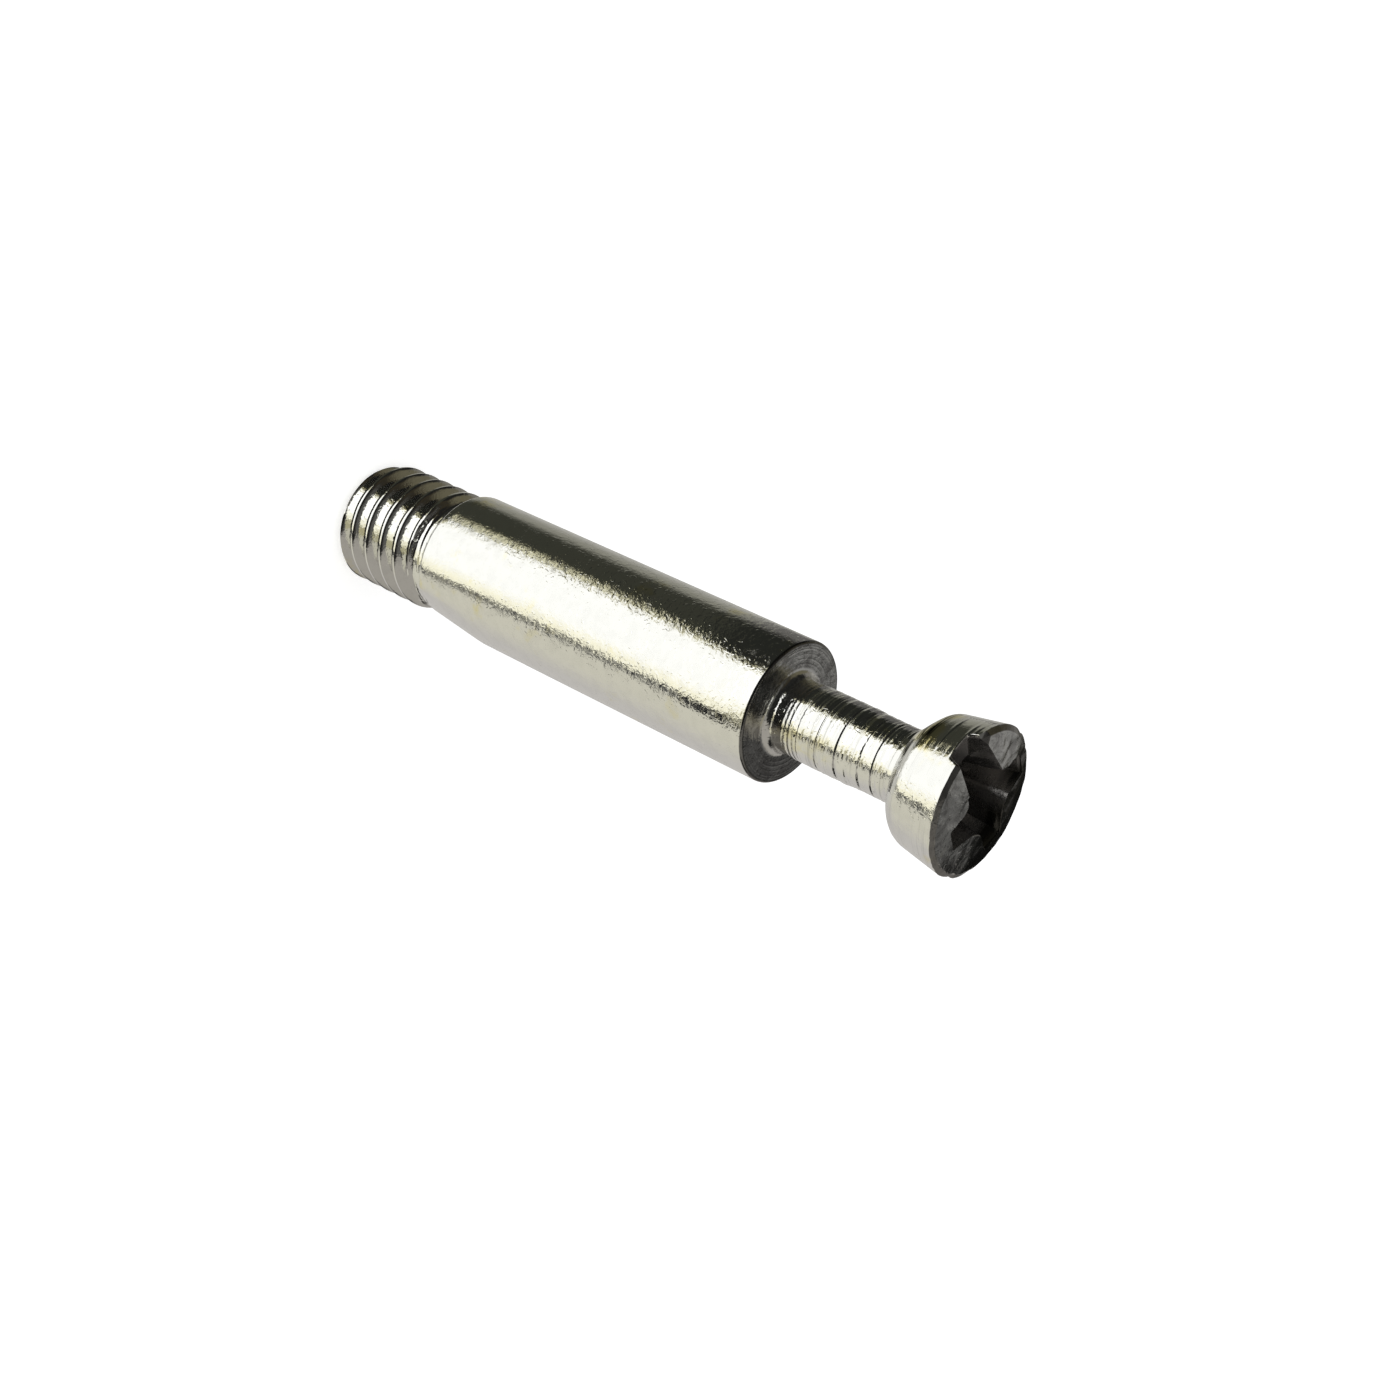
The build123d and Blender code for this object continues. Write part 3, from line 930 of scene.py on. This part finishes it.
        # The head's left is smoother than the shank, and so is the threaded end.
        even = net.times(net.ramp(z, 32.4, 33.0), net.ramp(x, 0.1, -0.4, 0.0, 0.55))
        uneven = net.times(net.minus(1.0, even), net.ramp(z, 8.5, 15.0, 0.5, 1.0))
        waves = net.noise(self.place, 0.65, 1.0, 0.5)
        peel = net.times(net.noise(self.place, 3.3, 2.0, 0.55, 0.8), uneven)
        pits = net.times(net.ramp(net.noise(self.place, 5.2, 1.0, 0.5), 0.6, 0.72), uneven)
        grain = net.noise(self.place, 9.0, 2.0, 0.6, 0.3)
        bumps = ((waves, 0.008), (peel, 0.015), (pits, 0.005), (grain, 0.003), (rings, 0.005))
        normal = None
        for height, distance in bumps:
            normal = net.bump(height, distance, normal)
        return normal


def make_material():
    material = bpy.data.materials.new("zinc_plate")
    material.use_nodes = True
    net = Net(material.node_tree)
    shader = net.nodes["Principled BSDF"]
    shader.inputs["Metallic"].default_value = 1.0
    plate = Plate(net)
    net.set(shader.inputs["Base Color"], plate.colour())
    net.set(shader.inputs["Roughness"], plate.roughness())
    net.set(shader.inputs["Normal"], plate.normal())
    return material


def make_camera():
    data = bpy.data.cameras.new("camera")
    data.sensor_fit = "HORIZONTAL"
    data.sensor_width = CAMERA_SENSOR
    data.lens = CAMERA_LENS
    data.clip_start = CAMERA_NEAR
    data.clip_end = CAMERA_FAR
    camera = linked(bpy.data.objects.new("camera", data))
    turn = Matrix((CAMERA_RIGHT, CAMERA_UP, CAMERA_BACK)).transposed().to_4x4()
    turn.translation = Vector(CAMERA_PLACE)
    camera.matrix_world = turn
    bpy.context.scene.camera = camera


def lower_studio(net, azimuth, elevation, side):
    """Below the horizon: a bright window in front, a dark screen on the left and a pale wall on the right."""
    shallow = net.ramp(elevation, -33, -31.5)
    # The window's edges lean and step with the elevation, as the photograph's bands do.
    lean = net.math("MAXIMUM", net.minus(-33.0, elevation), 0.0)
    lean = net.times(net.math("MINIMUM", lean, 7.5), net.ramp(elevation, -43.6, -42.2))
    rise = net.clamped(net.plus(elevation, 26.0), 0.0, 9.0)
    fingers = net.clamped(net.plus(elevation, 31.0), 0.0, 8.0)
    near_neck = net.ramp(elevation, -33, -31.8, 1.4, 0.0)
    left = net.plus(azimuth, net.times(lean, 2.8))
    left = net.minus(left, net.times(fingers, 1.3))
    left = net.minus(left, near_neck)
    left = net.minus(left, net.times(net.ramp(elevation, -37.0, -34.5), near_neck))
    left = net.plus(left, net.ramp(elevation, -45.5, -44.0, 5.0, 0.0))
    left = net.plus(left, net.ramp(elevation, -24.0, -20.0, 0.0, 8.0))
    cream = net.minus(left, net.times(lean, 1.1))
    right = net.plus(azimuth, net.times(lean, 0.8))
    right = net.plus(right, net.times(rise, 2.0))

    high_wall = net.times(net.ramp(elevation, -32.5, -30.5), net.ramp(azimuth, -160, -145))
    window = net.mix(net.ramp(elevation, -21, -18), WINDOW, WINDOW_HIGH)
    # A dark bar parts the window from the pale wall. It is faint where the shank's lower end mirrors it.
    bar = net.mix(net.band(elevation, -43.8, -43.0, -41.0, -39.6), BAR, BAR_FAINT)
    bar = net.mix(shallow, bar, BAR_HIGH)
    bar = net.mix(net.ramp(elevation, -25, -21), bar, BAR_TOP)
    wider = net.ramp(elevation, -33, -31, 0.0, 3.0)
    # Straight down it is all pale grey.
    deep = net.minus(elevation, net.ramp(side, 100, 130, 0.0, 11.0))
    layers = (
        (net.ramp(azimuth, -165, -124), LEFT_WALL),
        (high_wall, LEFT_WALL_HIGH),
        (net.ramp(azimuth, -126, -107), net.mix(shallow, SCREEN, SCREEN_HIGH)),
        (net.ramp(left, -47, -44), WINDOW_BROWN),
        (net.ramp(left, -45, -42), WINDOW_CREAM),
        (net.ramp(cream, -42, -38), window),
        (net.ramp(right, 20, 42), WINDOW_WARM),
        (net.ramp(net.plus(right, wider), 46, 48), bar),
        (net.ramp(net.minus(right, wider), 56, 58), RIGHT_WALL),
        (net.ramp(azimuth, 78, 128), RIGHT_WALL_BACK),
        (net.ramp(azimuth, 160, 178), BACK_WALL_RIGHT),
        (net.fall(deep, -73, -60), GROUND),
    )
    return layered(net, BACK_WALL_LEFT, layers)


def upper_studio(net, x, azimuth, elevation, side):
    """Above the horizon: dark, browner on the left, with a pale wall on the right and a soft patch behind."""
    brown = net.times(net.ramp(azimuth, -50, -70), net.fall(elevation, 40, 70), net.ramp(elevation, 34, 44))
    glow = net.times(net.band(side, 122, 136, 160, 170), net.fall(elevation, 22, 30))
    below_top = net.fall(elevation, 44, 56)
    low_edge = net.plus(elevation, net.ramp(side, 118, 135, 0.0, 10.0))
    curtain = net.times(net.ramp(azimuth, -95, -125), net.ramp(low_edge, 22, 34), below_top)
    behind = net.ramp(side, 145, 160)
    tilt = net.minus(elevation, net.times(net.math("MINIMUM", x, 0.0), 60.0))
    strength = net.clamped(net.minus(0.14, net.times(x, 0.8)), 0.1, 0.26)
    patch = net.times(net.ramp(tilt, 22, 32), strength, below_top, behind)
    wall = net.times(net.band(azimuth, 52, 70, 135, 165), net.fall(elevation, 60, 82))
    wall = net.times(wall, net.ramp(net.minus(elevation, net.ramp(azimuth, 92, 104, -18.0, 0.0)), 10, 22))
    layers = (
        (brown, DARK_BROWN),
        (net.ramp(elevation, 52, 72), CEILING),
        (glow, net.mix(net.ramp(azimuth, -1, 1), GLOW_LEFT, GLOW_RIGHT)),
        (curtain, LEFT_CURTAIN),
        (net.times(curtain, behind), DARK),
        (patch, SOFT_PATCH),
        (wall, PALE_WALL),
    )
    return layered(net, DARK, layers)


def layered(net, colour, layers):
    """One colour with others laid over it, each with its share."""
    for share, above in layers:
        colour = net.mix(share, colour, above)
    return colour


def make_world():
    """A plain even light. Metal also shows the studio round it, by the direction that it mirrors."""
    world = bpy.data.worlds.new("studio")
    bpy.context.scene.world = world
    world.use_nodes = True
    world.node_tree.nodes.clear()
    net = Net(world.node_tree)
    x, y, z = net.split(net.output("ShaderNodeTexCoord", "Generated"))
    # Degrees: the azimuth is 0 towards -Y, where the camera is, and grows towards +X.
    azimuth = net.times(net.math("ARCTAN2", x, net.times(y, -1.0)), 180 / math.pi)
    elevation = net.times(net.math("ARCSINE", z), 180 / math.pi)
    side = net.math("ABSOLUTE", azimuth)
    lower = lower_studio(net, azimuth, elevation, side)
    upper = upper_studio(net, x, azimuth, elevation, side)
    # The horizon lies higher in front.
    front = net.times(net.ramp(azimuth, -72, -60), net.ramp(azimuth, 72, 86, 13.0, 0.0))
    mirrored = net.mix(net.ramp(net.minus(elevation, front), -14, -7), lower, upper)

    path = net.nodes.new("ShaderNodeLightPath")
    shown = net.choose(path.outputs["Is Glossy Ray"], net.light(WHITE, PLAIN_LIGHT), net.light(mirrored))
    shown = net.choose(path.outputs["Is Camera Ray"], shown, net.light(WHITE))
    net.set(net.nodes.new("ShaderNodeOutputWorld").inputs["Surface"], shown)


def make_floor():
    """A white floor. Half of its white is its own, so that the dowel's shadow on it stays light."""
    half = FLOOR_HALF
    mesh = bpy.data.meshes.new("floor")
    corners = [(-half, -half, 0), (half, -half, 0), (half, half, 0), (-half, half, 0)]
    mesh.from_pydata(corners, [], [(0, 1, 2, 3)])
    floor = linked(bpy.data.objects.new("floor", mesh))
    material = bpy.data.materials.new("floor")
    material.use_nodes = True
    net = Net(material.node_tree)
    shader = net.nodes["Principled BSDF"]
    shader.inputs["Base Color"].default_value = (FLOOR_GREY, FLOOR_GREY, FLOOR_GREY, 1)
    shader.inputs["Roughness"].default_value = 1.0
    shader.inputs["Specular IOR Level"].default_value = 0.0
    shader.inputs["Emission Color"].default_value = (*WHITE, 1)
    seen = net.output("ShaderNodeLightPath", "Is Camera Ray")
    net.set(shader.inputs["Emission Strength"], net.times(seen, FLOOR_GLOW))
    mesh.materials.append(material)
    floor.visible_glossy = False


def make_lamp():
    data = bpy.data.lights.new("softbox", "AREA")
    data.shape = "DISK"
    data.size = LAMP_SIZE
    data.energy = LAMP_POWER
    lamp = linked(bpy.data.objects.new("softbox", data))
    lamp.location = LAMP_PLACE
    lamp.rotation_euler = Vector(LAMP_PLACE).to_track_quat("Z", "Y").to_euler()
    lamp.visible_glossy = False


dowel = make_dowel()
dowel.data.materials.append(make_material())
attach(dowel, "root")
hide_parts("cam_dowel")
make_camera()
make_world()
make_floor()
make_lamp()
bpy.context.scene.view_settings.view_transform = "Standard"
